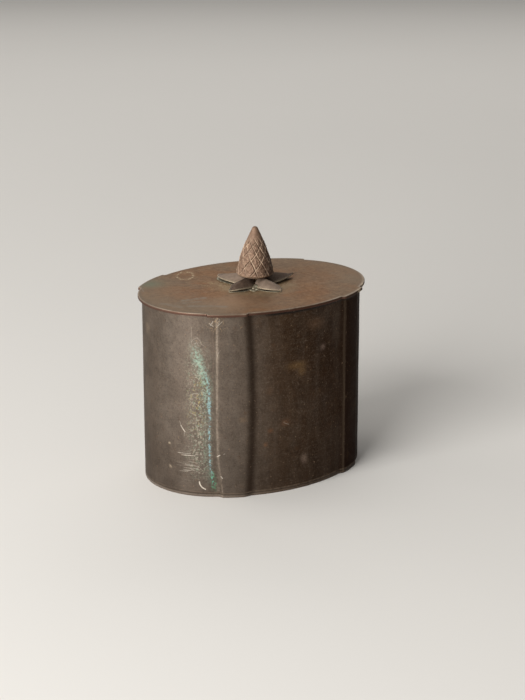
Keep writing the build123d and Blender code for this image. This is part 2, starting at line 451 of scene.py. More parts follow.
def wall_paint():
    """Tarnished silver plate: grey-brown, paler and speckled beside the front left crease."""
    p = Paint("tarnished_wall")
    along, bend, valley = p.attribute("along"), p.attribute("bend"), p.attribute("valley")
    up = p.z

    broad = p.noise(28, 3.0, 0.5, seed=3.0)
    cloud = p.noise(7, 4.0, 0.6, seed=5.0, warp=0.4)
    grain = p.noise(0.9, 4.0, 0.7, seed=8.0)
    streaks = p.noise(5, 3.0, 0.5, stretch=(1, 1, 0.16), seed=2.0)

    # Brown tarnish, greyer on the left end of the bowl and darker towards the bottom, with painted shade
    # that darkens it towards the right end.
    brown = p.two_tone(cloud, (62, 45, 31), (78, 59, 43))
    dark = p.two_tone(cloud, (36, 20, 9), (49, 31, 18))
    grey = p.two_tone(cloud, (107, 97, 88), (119, 108, 98))
    left_end = p.step(along, -125, -70) * p.step(along, 40, 4)
    shaded_right_end = p.step(along, 26, 74) * p.step(along, 150, 95)
    # Painted shade: the right end, which faces away from the light, is darkened.
    p.tint = p.mix(shaded_right_end * 0.85, brown, dark)
    greyness = left_end * 0.75 + p.step(broad, 0.35, 0.7) * 0.1 + p.step(streaks, 0.4, 0.7) * 0.12
    p.coat(grey, p.clamped(greyness))
    speckle = p.noise(1.5, 3.0, 0.75, seed=10.0)
    pale_grain = p.most(p.step(grain, 0.45, 0.8) * 0.3, p.step(speckle, 0.55, 0.7) * 0.3)
    p.coat((134, 119, 105), pale_grain)
    dark_grain = p.most(p.step(grain, 0.5, 0.25) * 0.3, p.step(speckle, 0.45, 0.3) * 0.35)
    p.coat((44, 34, 27), dark_grain)
    rust = p.spots(4, 0.25, seed=19.0, soft=0.14) * 0.22
    p.coat((96, 66, 44), rust)
    p.coat((56, 47, 40), p.step(up, 46, 4, 0.0, 0.26))
    # Painted shade, near black, at the far right end.
    deep_right_shade = p.step(along, 76, 81) * p.step(along, 150, 105)
    p.coat((30, 12, 3), deep_right_shade * 0.75)

    # Pale and brown blots, some of them at listed places.
    blots = p.spots(9, 0.12, seed=21.0, soft=0.16) * p.step(grain, 0.3, 0.6) * 0.35
    p.coat((122, 98, 74), blots)
    uneven = 0.9 + p.step(grain, 0.35, 0.6) * 0.9
    for at_along, at_up, wide, tall, strength, shade in WALL_BLOTS:
        blot = p.near(along, at_along, wide) * p.near(up, at_up, tall)
        p.coat(shade, blot * uneven * strength)

    # Speckled patina in a band left of the crease.
    band = p.near(along, -8.5, 10.5) * p.step(up, 3, 22) * p.step(up, 92, 66)
    pale = p.spots(1.15, 0.45, seed=31.0) * band
    yellow = p.spots(1.3, 0.3, seed=35.0) * band * p.near(up, 52, 24)
    green = p.spots(1.2, 0.35, seed=39.0) * band
    p.coat((178, 172, 154), pale * 0.5)
    p.coat((168, 150, 92), yellow * 0.65)
    p.coat((124, 146, 124), green * 0.5)

    # Verdigris that starts in a patch high up and runs down beside the crease.
    drift = p.step(up, 60, 84) * -6.0 + p.step(up, 22, 4) * 2.0
    streak_gap = along - (drift - 3.4) + (grain - 0.5) * 3.5
    reach_up = p.step(up, 4, 10) * p.step(up, 84, 70)
    broken = p.step(p.noise(1.3, 4.0, 0.75, seed=44.0), 0.44, 0.57)
    wet = p.near(streak_gap, 0.0, 1.5) * p.near(up, 52, 15) * 0.8
    thin = p.near(streak_gap, 0.0, 0.8) * p.step(up, 74, 60) * 0.85
    core = p.most(wet, thin) * reach_up * (0.12 + broken * 0.88)
    halo = p.near(streak_gap, -1.2, 4.2) * reach_up * broken * (0.2 + p.step(up, 46, 62) * 0.8)
    scribble = p.step(p.noise(1.5, 4.0, 0.75, seed=46.0, warp=0.6), 0.49, 0.56)
    patch_along = (74 - up) * 0.25 - 8.6
    patch = p.near(along - patch_along, 0.0, 4.5) * p.near(up, 74, 14) * scribble
    low_green = p.near(streak_gap, 0.3, 2.0) * p.near(up, 9, 8) * broken
    p.coat((156, 186, 168), p.most(halo, patch) * 0.68)
    p.coat((148, 190, 196), core * 0.85)
    p.coat((84, 168, 124), low_green * 0.85)

    # Wear on the creases that stand out, and painted shade in those that lie back, darkest in the front
    # left pad's valley.
    patchy = p.step(p.noise(2.4, 4.0, 0.7, seed=49.0), 0.4, 0.58)
    wear = p.step(bend, 260.0, 400.0) * (0.1 + patchy * 0.9)
    hollow_crease_shade = p.step(bend, -80.0, -420.0) * 0.3
    crease_and_valley_shade = p.most(hollow_crease_shade, p.near(valley, 0.8, 4.2) * 0.75)
    p.coat((172, 156, 138), wear * 0.22)
    # Painted shade in the hollow creases and the valley.
    p.coat((44, 31, 22), crease_and_valley_shade)

    # The edges of the right pad, rubbed pale; a pale band on the front left crease, partly rubbed and
    # partly a painted highlight; and a painted shadow under the lid's rim.
    rubbed_edge = p.most(p.near(along, 80.2, 1.3) * 0.3, p.near(along, 95.6, 0.9) * 0.22)
    p.coat((112, 98, 82), rubbed_edge)
    # Rubbed pale band and painted highlight along the front left crease.
    crease_rub_and_highlight = p.near(along, 1.2, 2.0) * (0.3 + p.step(speckle, 0.45, 0.6) * 0.7)
    p.coat((166, 154, 138), crease_rub_and_highlight * 0.32)
    # Painted shadow: a dark band at the top of the wall where the lid's rim shades it on the right.
    lid_rim_shadow = p.step(up, 97.2, 98.6) * p.step(along, 18, 34) * p.step(along, 150, 110)
    p.coat((12, 7, 4), lid_rim_shadow * 0.85)

    # The soldered foot shows as a thin pale line.
    foot = p.near(up, 2.3, 0.7) * (0.35 + patchy * 0.65)
    p.coat((136, 120, 104), foot * 0.55)

    # The strip's seam, at the back.
    seam = p.near(p.x, SEAM_X / MM, 0.9) * p.step(p.y, 0.0, 10)
    p.coat((150, 138, 118), seam * (0.15 + patchy * 0.4))
    seam_line = p.near(p.x, SEAM_X / MM, 0.3) * p.step(p.y, 0.0, 10)
    p.coat((34, 24, 17), seam_line * 0.7)

    scratches = p.strokes(along, up, WALL_SCRATCHES) * (0.55 + broken * 0.45)
    fine = p.noise(3, 2.0, 0.5, stretch=(0.25, 0.25, 9), seed=52.0)
    rubbed = p.near(along, -14, 12) * p.near(up, 18, 14)
    fine = p.step(fine, 0.6, 0.68) * (rubbed * 0.4 + 0.02)
    marks = p.most(scratches, fine)
    p.coat((234, 224, 208), marks)

    flecks = p.spots(1.5, 0.05, seed=61.0, soft=0.05) * 0.5
    p.coat((152, 128, 104), flecks)
    top_flecks = p.spots(1.0, 0.35, seed=66.0) * p.near(along, 0.5, 7) * p.step(up, 89, 95)
    p.coat((190, 164, 130), top_flecks * 0.7)

    crust = p.most(core, low_green, p.most(halo, patch) * 0.6, pale * 0.3)
    # Painted light: the wall's lowest band, which reflects the shaded floor by the foot, is lightened and
    # made less metallic.
    low_band_light = p.step(up, 2.2, 1.2)
    p.coat((138, 122, 106), low_band_light * 0.12)
    metal = p.clamped(0.9 - p.most(crust, low_band_light, lid_rim_shadow) * 0.6)
    roughness = 0.42 + crust * 0.25 + p.step(cloud, 0.3, 0.7) * 0.08 - marks * 0.1
    normal = p.bump((broad, 0.14), (cloud, 0.04), (grain, 0.016), (broken, 0.01))
    return p.finish(metal, roughness, normal, edge_tint=0.45)


def inside_paint():
    """The inside of the bowl: dull grey tin with brown stains, and the collar likewise."""
    p = Paint("dull_inside")
    cloud = p.noise(9, 4.0, 0.6, seed=4.0)
    grain = p.noise(1.1, 4.0, 0.7, seed=9.0)
    p.tint = p.two_tone(cloud, (100, 90, 79), (132, 122, 109))
    stains = p.spots(12, 0.25, seed=14.0, soft=0.2) * 0.6
    p.coat((92, 72, 54), stains)
    p.coat((170, 162, 150), p.step(grain, 0.4, 0.8) * 0.3)
    brushed = p.noise(2, 2.0, 0.5, stretch=(0.3, 0.3, 8), seed=18.0)
    roughness = 0.46 + p.step(brushed, 0.3, 0.7) * 0.12
    normal = p.bump((cloud, 0.06), (brushed, 0.01))
    return p.finish(0.85, roughness, normal)


def base_paint():
    """The base plate's faces, worn on the underside. Its edge has the wall's paint."""
    p = Paint("base_metal")
    cloud = p.noise(6, 4.0, 0.6, seed=6.0)
    grain = p.noise(0.8, 4.0, 0.7, seed=12.0)
    p.tint = p.two_tone(cloud, (66, 52, 41), (90, 76, 63))
    p.coat((118, 102, 86), p.step(grain, 0.5, 0.8) * 0.4)
    rub = p.noise(22, 3.0, 0.6, seed=16.0) * p.step(p.z, 0.3, 0.0)
    p.coat((150, 138, 120), p.step(rub, 0.45, 0.6))
    lines = p.noise(3, 2.0, 0.5, stretch=(0.2, 6, 1), seed=19.0)
    roughness = 0.42 + p.step(lines, 0.4, 0.7) * 0.15
    normal = p.bump((cloud, 0.05), (lines, 0.01))
    return p.finish(0.85, roughness, normal)


def solder_paint():
    """Dull solder with a grey-green bloom."""
    p = Paint("old_solder")
    cloud = p.noise(1.6, 4.0, 0.65, seed=7.0)
    p.tint = p.two_tone(cloud, (108, 98, 82), (156, 147, 126), 0.35, 0.65)
    pits = p.spots(1.0, 0.3, seed=28.0)
    p.coat((82, 68, 54), pits * 0.55)
    bloom = p.spots(1.2, 0.3, seed=23.0)
    p.coat((128, 134, 110), bloom * 0.5)
    metal = p.clamped(0.6 - bloom * 0.5)
    roughness = 0.5 + bloom * 0.25
    return p.finish(metal, roughness, p.bump((cloud, 0.15)))


def lid_paint():
    """The lid: warm brown tarnish with grey-green clouds, a pale ring mark and fine scratches."""
    p = Paint("tarnished_lid")
    rim, from_finial = p.attribute("rim"), p.attribute("from_finial")

    broad = p.noise(30, 3.0, 0.5, seed=13.0, warp=0.3)
    cloud = p.noise(9, 4.0, 0.6, seed=15.0, warp=0.5)
    grain = p.noise(0.9, 4.0, 0.7, seed=18.0)

    warm = p.two_tone(cloud, (128, 93, 64), (148, 112, 81))
    cool = p.two_tone(cloud, (120, 102, 82), (138, 120, 100))
    p.tint = p.mix(p.step(broad, 0.4, 0.68) * 0.7, warm, cool)
    rust = p.spots(13, 0.4, seed=26.0, soft=0.2) * p.near(from_finial, 20, 34)
    left_rust = p.near(p.x, -36, 18) * p.near(p.y, 4, 18)
    rust = p.most(rust * 0.6, left_rust * p.step(cloud, 0.35, 0.6) * 0.55)
    p.coat((150, 98, 60), rust)
    p.coat((146, 124, 100), p.step(grain, 0.45, 0.8) * 0.4)
    p.coat((76, 54, 38), p.step(grain, 0.5, 0.25) * 0.35)
    mottle = p.noise(2.6, 4.0, 0.65, seed=29.0, warp=0.5)
    p.coat((88, 62, 42), p.step(mottle, 0.5, 0.36) * 0.3)
    p.coat((164, 136, 108), p.step(mottle, 0.52, 0.64) * 0.3)
    p.coat((72, 50, 35), p.spots(1.8, 0.12, seed=24.0) * 0.35)

    # Greyer towards both ends, and a paler stretch along the front that is painted light.
    ends = p.most(p.step(p.x, -18, -52), p.step(p.x, 34, 58))
    p.coat((138, 126, 108), ends * 0.38)
    # Painted light on the front of the lid.
    front = p.near(p.x, -22, 30) * p.near(p.y, -22, 20)
    p.coat((176, 142, 112), front * 0.5)

    # Grey-green patch at the left end, and a halo of the same round the calyx.
    patch = p.near(p.x, LID_LOW.x / MM + 19, 13) * p.near(p.y, 31, 12)
    p.coat((112, 118, 98), patch * 0.75)
    halo_gap = from_finial + (cloud - 0.5) * 12
    halo = p.near(halo_gap, 15, 11) * p.step(grain, 0.3, 0.6)
    p.coat((156, 144, 112), halo * 0.5)
    dust = p.near(p.x, DUST[0], 10) * p.near(p.y, DUST[1], 15) * p.spots(2.0, 0.4, seed=75.0)
    p.coat((184, 166, 128), dust * 0.75)

    # The ring of pale specks.
    off_x, off_y = p.x - RING_MIDDLE[0], p.y - RING_MIDDLE[1]
    lean = math.radians(RING_TURN)
    long_way = off_x * (math.cos(lean) / RING_LONG) + off_y * (math.sin(lean) / RING_LONG)
    short_way = off_y * (math.cos(lean) / RING_SHORT) - off_x * (math.sin(lean) / RING_SHORT)
    spread = p.maths("SQRT", long_way * long_way + short_way * short_way)
    specks = 0.1 + p.spots(1.5, 0.5, seed=71.0, soft=0.06) * 0.9
    ring = p.near(spread, 1.0, 0.24) * specks
    near_ring = p.near(spread, 1.0, 0.8) * p.spots(1.6, 0.12, seed=73.0)
    ring = p.most(ring, near_ring * 0.6)
    p.coat((200, 182, 150), ring * 0.85)

    smudge = p.strokes(p.x, p.y, LID_SMUDGES) * (0.4 + p.step(mottle, 0.4, 0.6) * 0.6)
    p.coat((144, 134, 121), smudge)
    scratches = p.strokes(p.x, p.y, LID_SCRATCHES)
    fine = p.noise(3, 2.0, 0.5, stretch=(0.35, 7, 1), seed=82.0)
    fine = p.step(fine, 0.64, 0.7) * p.step(cloud, 0.4, 0.6) * 0.2
    marks = p.most(scratches, fine)
    p.coat((156, 148, 138), marks * 0.8)

    # A grey worn border, and a dark red-brown edge, with painted shade that darkens the edge towards the
    # right, and a few bright rubbed spots.
    border = p.step(rim, 3.2, 0.6)
    p.coat((118, 106, 94), border * 0.4)
    worn = p.near(rim, 0.35, 0.7) * (0.35 + p.step(cloud, 0.4, 0.6) * 0.65)
    right_front = p.step(p.x, 0.0, 24) * p.step(p.y, 0.0, -16)
    wide_worn = p.near(rim, 0.4, 1.6) * right_front
    p.coat((176, 160, 142), p.most(worn, wide_worn) * 0.75)
    top = LID_HIGH.z / MM
    side = p.step(p.z, top - 0.25, top - 0.8) * p.step(rim, 0.5, 0.1)
    p.coat((78, 47, 38), side * 0.85)
    # Painted shade: the edge darker from the middle of the front rightwards, near black at the right.
    p.coat((56, 32, 22), side * p.step(p.x, -29, -23) * 0.5)
    p.coat((22, 12, 7), side * p.step(p.x, 26, 50) * 0.8)
    rubbed = p.spots(7, 0.08, seed=91.0) * 0.5
    for at_x, at_y, reach in RIM_RUBS:
        spot = p.near(p.x, at_x, reach) * p.near(p.y, at_y, reach)
        rubbed = p.most(rubbed, spot * p.step(grain, 0.3, 0.5))
    rubbed = rubbed * p.near(rim, 0.2, 0.8)
    p.coat((208, 188, 160), rubbed)

    crust = p.most(patch * 0.5, halo * 0.5, ring)
    metal = p.clamped(0.75 - crust * 0.5)
    roughness = 0.46 + crust * 0.2 + p.step(cloud, 0.3, 0.7) * 0.1
    normal = p.bump((broad, 0.3), (cloud, 0.07), (grain, 0.02))
    return p.finish(metal, roughness, normal, edge_tint=0.5)


def calyx_paint():
    """The leaves: grey to brown sheet, each with its own painted light and shade, pale at the edges and
    green low down.
    """
    p = Paint("tarnished_leaves")
    shade, edge = p.attribute("shade"), p.attribute("edge")
    cloud = p.noise(3, 4.0, 0.6, seed=17.0)
    grain = p.noise(0.7, 4.0, 0.7, seed=22.0)
    dark = p.two_tone(cloud, (60, 44, 35), (80, 61, 50))
    light = p.two_tone(cloud, (138, 119, 104), (160, 140, 124))
    # Painted light and shade: each leaf's tone, from dark to light.
    p.tint = p.mix(shade, dark, light)
    p.coat((160, 148, 128), p.step(grain, 0.4, 0.8) * 0.25)
    p.coat((172, 158, 134), edge * p.step(grain, 0.25, 0.6) * 0.7)
    foot = CALYX_LOW.z / MM
    low = p.step(p.z, foot + 1.6, foot)
    p.coat((132, 126, 102), low * p.step(cloud, 0.35, 0.6) * 0.4)
    roughness = 0.5 + p.step(cloud, 0.3, 0.7) * 0.12
    normal = p.bump((cloud, 0.1), (grain, 0.02))
    return p.finish(0.6, roughness, normal, specular=0.35, edge_tint=0.4)


def cone_paint():
    """The cast cone: brown, dark in its cells with painted shade, and pale along its raised ridges with a
    painted highlight.
    """
    p = Paint("cast_cone_brown")
    ridge, cell = p.attribute("ridge"), p.attribute("cell")
    cloud = p.noise(3, 4.0, 0.6, seed=27.0)
    grain = p.noise(0.6, 4.0, 0.7, seed=32.0)
    p.tint = p.two_tone(cloud, (110, 86, 69), (132, 106, 87))
    # Painted shade in the grooves and the low spots of the cells.
    p.coat((46, 32, 24), cell * 0.9)
    p.coat((146, 122, 102), p.step(grain, 0.45, 0.8) * 0.3)
    # Painted highlight along the raised lips, and wear at the foot.
    p.coat((206, 180, 154), ridge * (0.3 + p.step(cloud, 0.35, 0.6) * 0.7) * 0.95)
    p.coat((186, 160, 134), p.spots(1.0, 0.3, seed=34.0) * 0.25)
    # Painted shade, darker on the side that faces front right.
    shaded_side = (p.x - FINIAL.x / MM) * 0.9 - (p.y - FINIAL.y / MM) * 0.43
    p.coat((58, 41, 31), p.step(shaded_side, 0.5, 7.5) * 0.5)
    roughness = 0.56 + p.step(cloud, 0.3, 0.7) * 0.12
    normal = p.bump((cloud, 0.08), (grain, 0.05))
    return p.finish(0.35, roughness, normal, specular=0.35)


def fixing_paint():
    """Brass stud, washer and nut, dull with age."""
    p = Paint("dull_brass")
    cloud = p.noise(2.5, 4.0, 0.6, seed=37.0)
    grain = p.noise(0.5, 4.0, 0.7, seed=42.0)
    p.tint = p.two_tone(cloud, (120, 92, 52), (158, 126, 76))
    p.coat((76, 58, 38), p.spots(1.6, 0.2, seed=47.0) * 0.5)
    p.coat((190, 162, 110), p.step(grain, 0.5, 0.8) * 0.3)
    roughness = 0.36 + p.step(cloud, 0.3, 0.7) * 0.16
    return p.finish(0.9, roughness, p.bump((grain, 0.015)))


def floor_paint():
    """The pale studio floor."""
    p = Paint("pale_floor")
    cloud = p.noise(500, 3.0, 0.5, seed=57.0)
    grain = p.noise(2, 3.0, 0.6, seed=62.0)
    p.tint = p.mix(cloud, colour(222, 219, 214), colour(228, 225, 220))
    return p.finish(0.0, 0.85, p.bump((grain, 0.01)), specular=0.12)


# Scratches: (width, strength, points), in millimetres. On the wall the points are along the wall
# from the front left crease, and up. On the lid they are the frame's own x and y.
WALL_SCRATCHES = (
    (0.20, 0.55, ((-21.0, 23.3), (-13.7, 23.6))),
    (0.24, 0.70, ((-18.8, 22.2), (-11.2, 22.6))),
    (0.20, 0.35, ((-16.6, 17.4), (-9.0, 16.8))),
    (0.20, 0.32, ((-17.3, 15.4), (-8.7, 15.3))),
    (0.20, 0.35, ((-20.2, 13.2), (-15.2, 13.4))),
    (0.20, 0.30, ((-13.4, 14.8), (-9.0, 13.5))),
    (0.18, 0.25, ((-15.2, 19.2), (-8.6, 18.8))),
    (0.45, 1.00, ((-9.0, 8.2), (-8.7, 6.8), (-7.6, 5.2), (-5.8, 4.2))),
    (0.36, 0.85, ((-18.8, 38.5), (-17.7, 36.8), (-16.6, 35.5))),
    (0.22, 0.40, ((-19.5, 41.0), (-18.8, 38.5))),
    (0.20, 0.30, ((-17.0, 35.5), (-17.1, 33.0))),
    (0.36, 0.90, ((0.7, 23.0), (2.5, 24.0))),
    (0.42, 0.80, ((2.9, 12.0), (3.6, 11.0))),
    (0.20, 0.45, ((4.3, 24.5), (5.1, 24.8))),
    (0.18, 0.16, ((-12.6, 92.8), (-12.6, 85.2))),
    (0.20, 0.22, ((-12.6, 84.5), (-11.6, 86.5), (-9.4, 87.5), (-7.9, 86.0), (-7.2, 84.0), (-5.8, 83.5))),
    (0.20, 0.18, ((-11.6, 84.0), (-9.4, 84.8), (-8.7, 83.2))),
    (0.32, 0.50, ((-2.9, 95.5), (-1.1, 94.0))),
    (0.28, 0.40, ((-1.1, 96.5), (-2.2, 94.2))),
    (0.24, 0.45, ((1.9, 94.5), (4.3, 96.8))),
    (0.24, 0.35, ((2.9, 98.0), (2.5, 95.2))),
    (0.20, 0.35, ((38.0, 38.6), (39.6, 37.8), (41.0, 37.2))),
    (0.18, 0.25, ((1.5, 77.5), (2.2, 80.0), (3.4, 81.5))),
)
# Blots on the wall: along, up, half width, half height, strength, colour.
WALL_BLOTS = (
    (46.0, 69.0, 9.0, 3.5, 0.50, (116, 90, 60)),
    (49.0, 65.5, 4.0, 4.0, 0.40, (120, 94, 64)),
    (63.2, 75.8, 3.0, 3.0, 0.60, (112, 94, 84)),
    (50.6, 16.0, 3.5, 4.5, 0.62, (118, 100, 88)),
    (39.0, 38.5, 4.0, 3.0, 0.50, (112, 84, 66)),
    (30.3, 35.2, 2.5, 2.0, 0.45, (118, 84, 62)),
    (27.5, 27.8, 2.0, 2.0, 0.50, (122, 90, 68)),
    (30.0, 57.2, 3.0, 4.0, 0.30, (108, 84, 66)),
    (14.5, 43.2, 3.5, 2.5, 0.30, (134, 112, 90)),
    (58.0, 90.0, 9.0, 5.0, 0.40, (104, 80, 62)),
    (-44.8, 86.8, 5.0, 5.0, 0.35, (146, 130, 112)),
    (-26.4, 27.5, 1.2, 1.0, 0.70, (180, 164, 142)),
    (-26.0, 14.5, 1.4, 1.4, 0.60, (172, 156, 136)),
)
LID_SCRATCHES = (
    (0.25, 0.35, ((14.0, 20.0), (24.0, 24.0))),
    (0.45, 0.60, ((-52.7, 26.7), (-54.0, 23.4), (-55.0, 20.4))),
)
# Broad grey smears on the lid, given as the scratches are.
LID_SMUDGES = (
    (2.2, 0.75, ((-46.0, -5.6), (-34.0, -7.2))),
    (1.6, 0.55, ((-48.1, -9.6), (-39.3, -11.5))),
    (2.6, 0.60, ((-47.8, -16.0), (-40.0, -21.0), (-33.0, -26.4))),
    (2.4, 0.50, ((-57.6, -4.4), (-53.0, -14.6))),
)
# The middle of the dusty patch beside the leaves.
DUST = (-16.8, 8.6)
# The oval ring of specks: its middle, half length and half width, and which way it is long.
RING_MIDDLE = (-21.1, 35.2)
RING_LONG, RING_SHORT = 7.4, 4.4
RING_TURN = 57.7
# Bright rubbed places on the lid's rim: x, y and how far each reaches.
RIM_RUBS = (
    (-57.9, -14.7, 3.0),
    (-52.0, -24.5, 2.6),
    (-60.2, -8.0, 1.6),
    (50.5, -28.5, 3.5),
    (43.0, -37.0, 2.5),
)

PAINTS = {
    "wall": wall_paint(),
    "inside": inside_paint(),
    "base": base_paint(),
    "solder": solder_paint(),
    "lid": lid_paint(),
    "calyx": calyx_paint(),
    "cone": cone_paint(),
    "fixing": fixing_paint(),
    "floor": floor_paint(),
}


def settle(piece, paint, body, slot, *nodes):
    """Give a piece its material, body and the CAD nodes that it stands for. slot is not used."""
    piece.data.materials.append(PAINTS[paint])
    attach(piece, body)
    if nodes:
        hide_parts(*nodes)
    return piece


# ---------------------------------------------------------------- the bowl

WALL_COLUMNS = 960
WALL_DENT = 0.16 * MM
WALL_CORNER_ROWS = 9
# How far the front left pad's creases wander, and how much all of them waver, in degrees.
CREASE_DRIFT = 2.6
VALLEY_BULGE = 2.3
CREASE_WAVER = 0.5
WAVER_LENGTH = 30 * MM
# The base plate's edge stands this far out from the wall.
BASE_STAND = 0.02 * MM


def wall_pads(height):
    """The pads' angles at a height: the hand-made creases wander a little on their way up."""
    share = height / WALL_HIGH.z
    drift = CREASE_DRIFT * float(smoothstep(share, 0.26, 0.0))
    bulge = VALLEY_BULGE * (math.sin(math.pi * share) - 0.5)
    pads = []
    for corner, (low, high) in enumerate(WALL_PADS):
        low += CREASE_WAVER * noise.noise(Vector((height / WAVER_LENGTH, corner * 7.3, 1.5)))
        high += CREASE_WAVER * noise.noise(Vector((height / WAVER_LENGTH, corner * 5.1, 8.5)))
        if corner == FRONT_LEFT:
            low, high = low + drift, high + bulge
        pads.append((low, high))
    return pads


def wall_ring(height, columns=WALL_COLUMNS):
    """The wall's outer outline at a height."""
    return lobed_ring(wall_pads(height), 0.0, WALL_STEP_RUNS, WALL_STEP_SOFTNESS, columns)


def wall_ring_plain(columns):
    """The wall's outline with straight creases, as the collar has it."""
    return lobed_ring(WALL_PADS, 0.0, WALL_STEP_RUNS, WALL_STEP_SOFTNESS, columns)


def wall_dents(points, height):
    """How far the sheet is pushed in or out at each point of a ring."""
    spots = at_height(points, height)
    wave = 0.7 * field(spots, 26 * MM, 1) + 0.3 * field(spots, 11 * MM, 2)
    seam = hump(points[:, 0], SEAM_X, 0.4 * MM) * (points[:, 1] > 0)
    return WALL_DENT * (wave - 0.9 - seam)


def wall_marks(points, normals, length, height):
    """What the wall's paint reads: millimetres from the front left crease and its valley, and bend."""
    along = run_from(points, length, -180 + WALL_PADS[FRONT_LEFT][0])
    valley = run_from(points, length, -180 + wall_pads(height)[FRONT_LEFT][1])
    return along / MM, valley / MM, ring_bend(normals, length)


def set_wall_marks(piece, marks, spare=0):
    """Store the marks of a piece's rings. spare is how many more points the piece has after them."""
    for index, name in enumerate(("along", "valley", "bend")):
        values = np.concatenate([mark[index] for mark in marks])
        set_attribute(piece, name, np.append(values, np.zeros(spare)))


def make_wall():
    """The lobed wall: outside, a rounded rim, and inside."""
    low, high = WALL_LOW.z, WALL_HIGH.z
    rim = WALL_SHEET / 2
    outside = list(np.linspace(low, high - rim, 78))
    section = [(0.0, z) for z in outside]
    turns = np.radians(np.linspace(0, 180, WALL_CORNER_ROWS)[1:-1])
    section += [(rim - rim * math.cos(t), high - rim + rim * math.sin(t)) for t in turns]
    section += [(WALL_SHEET, z) for z in np.linspace(high - rim, low, 46)]
    rings, marks = [], []
    for inward, height in section:
        points, normals, length = wall_ring(height)
        push = wall_dents(points, height) - inward
        rings.append(at_height(points + normals * push[:, None], height))
        marks.append(wall_marks(points, normals, length, height))
    wall = loft("wall_sheet", rings, closed=True)
    set_wall_marks(wall, marks)
    settle(wall, "wall", "bowl", "wall_sheet", "body_wall")
    wall.data.materials.append(PAINTS["inside"])
    inner_rows = range(len(outside) + len(turns), len(section) - 1)
    slots = np.zeros(len(wall.data.polygons), np.int32)
    slots[inner_rows.start * WALL_COLUMNS : inner_rows.stop * WALL_COLUMNS] = 1
    wall.data.polygons.foreach_set("material_index", slots)
    return wall


def flat_rows(ring, height, shares):
    """Rings in a plane that shrink towards the object's middle."""
    return [at_height(ring * share, height) for share in shares]


def make_base():
    """The base plate: a rounded edge all but flush with the wall, flat above and below."""
    low, high = BASE_LOW.z, BASE_HIGH.z
    points, normals, length = wall_ring(high, 720)
    points = points + normals * wall_dents(points, high)[:, None]
    corner, top_corner = 0.25 * MM, 0.05 * MM
    edge = quarter((BASE_STAND - corner, low + corner), corner, -90, 0)
    edge += quarter((BASE_STAND - top_corner, high - top_corner), top_corner, 0, 90)
    shares = (0.98, 0.94, 0.85, 0.7, 0.5, 0.3, 0.1)
    rim = points + normals * (BASE_STAND - corner)
    rings = flat_rows(rim, low, shares[::-1])
    rings += [at_height(points + normals * grow, height) for grow, height in edge]
    rings += flat_rows(rim, high, shares)
    base = loft("foot_plate", rings, cap_start=True, cap_end=True)
    set_wall_marks(base, [wall_marks(points, normals, length, low)] * len(rings), spare=2)
    settle(base, "base", "bowl", "base_sheet", "base_plate")
    base.data.materials.append(PAINTS["wall"])
    slots = np.zeros(len(base.data.polygons), np.int32)
    first_edge = (len(shares) - 1) * len(points)
    slots[first_edge : first_edge + (len(edge) + 1) * len(points)] = 1
    base.data.polygons.foreach_set("material_index", slots)
    return base


def bead(name, ring, normals, height, across, tall, seed):
    """A fillet of solder round a ring, thicker in some places than others."""
    size = 1 + 0.35 * field(at_height(ring, height), 6 * MM, seed)
    rings = []
    for turn in full_turn(10):
        out, up = across * math.cos(turn) * size, tall * math.sin(turn) * size
        flat = ring + normals * out[:, None]
        rings.append(np.column_stack([flat, height + up]))
    return loft(name, rings[::-1], closed=True)


def make_solder_lines():
    """Solder inside the foot of the wall, and up the inside of the strip's seam at the back."""
    points, normals, _ = wall_ring(BASE_HIGH.z + 1 * MM, 480)
    inner = points - normals * (WALL_SHEET + 0.25 * MM)
    foot = bead("foot_solder", inner, normals, BASE_HIGH.z + 0.25 * MM, 0.7 * MM, 0.7 * MM, 5)
    settle(foot, "solder", "bowl", "base_sheet")

    seam_low, seam_high = BASE_HIGH.z + 0.5 * MM, WALL_HIGH.z - 10 * MM
    rings = []
    turns = full_turn(14)
    for height in np.linspace(seam_low, seam_high, 90):
        points, normals, _ = wall_ring(height, 480)
        at = np.argmin(np.abs(points[:, 0] - SEAM_X) + (points[:, 1] < 0))
        out, side = normals[at], np.array([-normals[at][1], normals[at][0]])
        size = 1 + 0.3 * noise.noise(Vector((0.3, 0.7, height / (4 * MM))))
        size *= min(1.0, (height - seam_low) / MM + 0.2, (seam_high - height) / MM + 0.2)
        spread = side * (2.2 * MM * size * np.cos(turns))[:, None]
        stand = out * (0.35 * MM * size * np.sin(turns))[:, None]
        rings.append(at_height(points[at] - out * WALL_SHEET + spread - stand, height))
    seam = loft("seam_solder", rings, cap_start=True, cap_end=True)
    settle(seam, "solder", "bowl", "wall_sheet")


make_wall()
make_base()
make_solder_lines()

# ---------------------------------------------------------------- the lid

LID_COLUMNS = 1200
LID_WARP = 0.35 * MM
# The lid's rows of points, from its rim, at 1, in to its hole, at 0.
LID_ROWS = np.array(
    [1.0, 0.995, 0.98, 0.95, 0.9, 0.84, 0.77, 0.7, 0.62, 0.54, 0.46, 0.38, 0.3, 0.22, 0.14, 0.07, 0.0]
)


def lid_lift(flat):
    """The lid is not quite flat: how far it dips at each place, never above its CAD height."""
    spots = at_height(flat, 0.0)
    wave = 0.7 * field(spots, 45 * MM, 6) + 0.3 * field(spots, 16 * MM, 7)
    reach = np.linalg.norm(flat - FINIAL_AT, axis=1)
    return LID_WARP * (wave - 0.8) * smoothstep(reach, 14 * MM, 34 * MM)


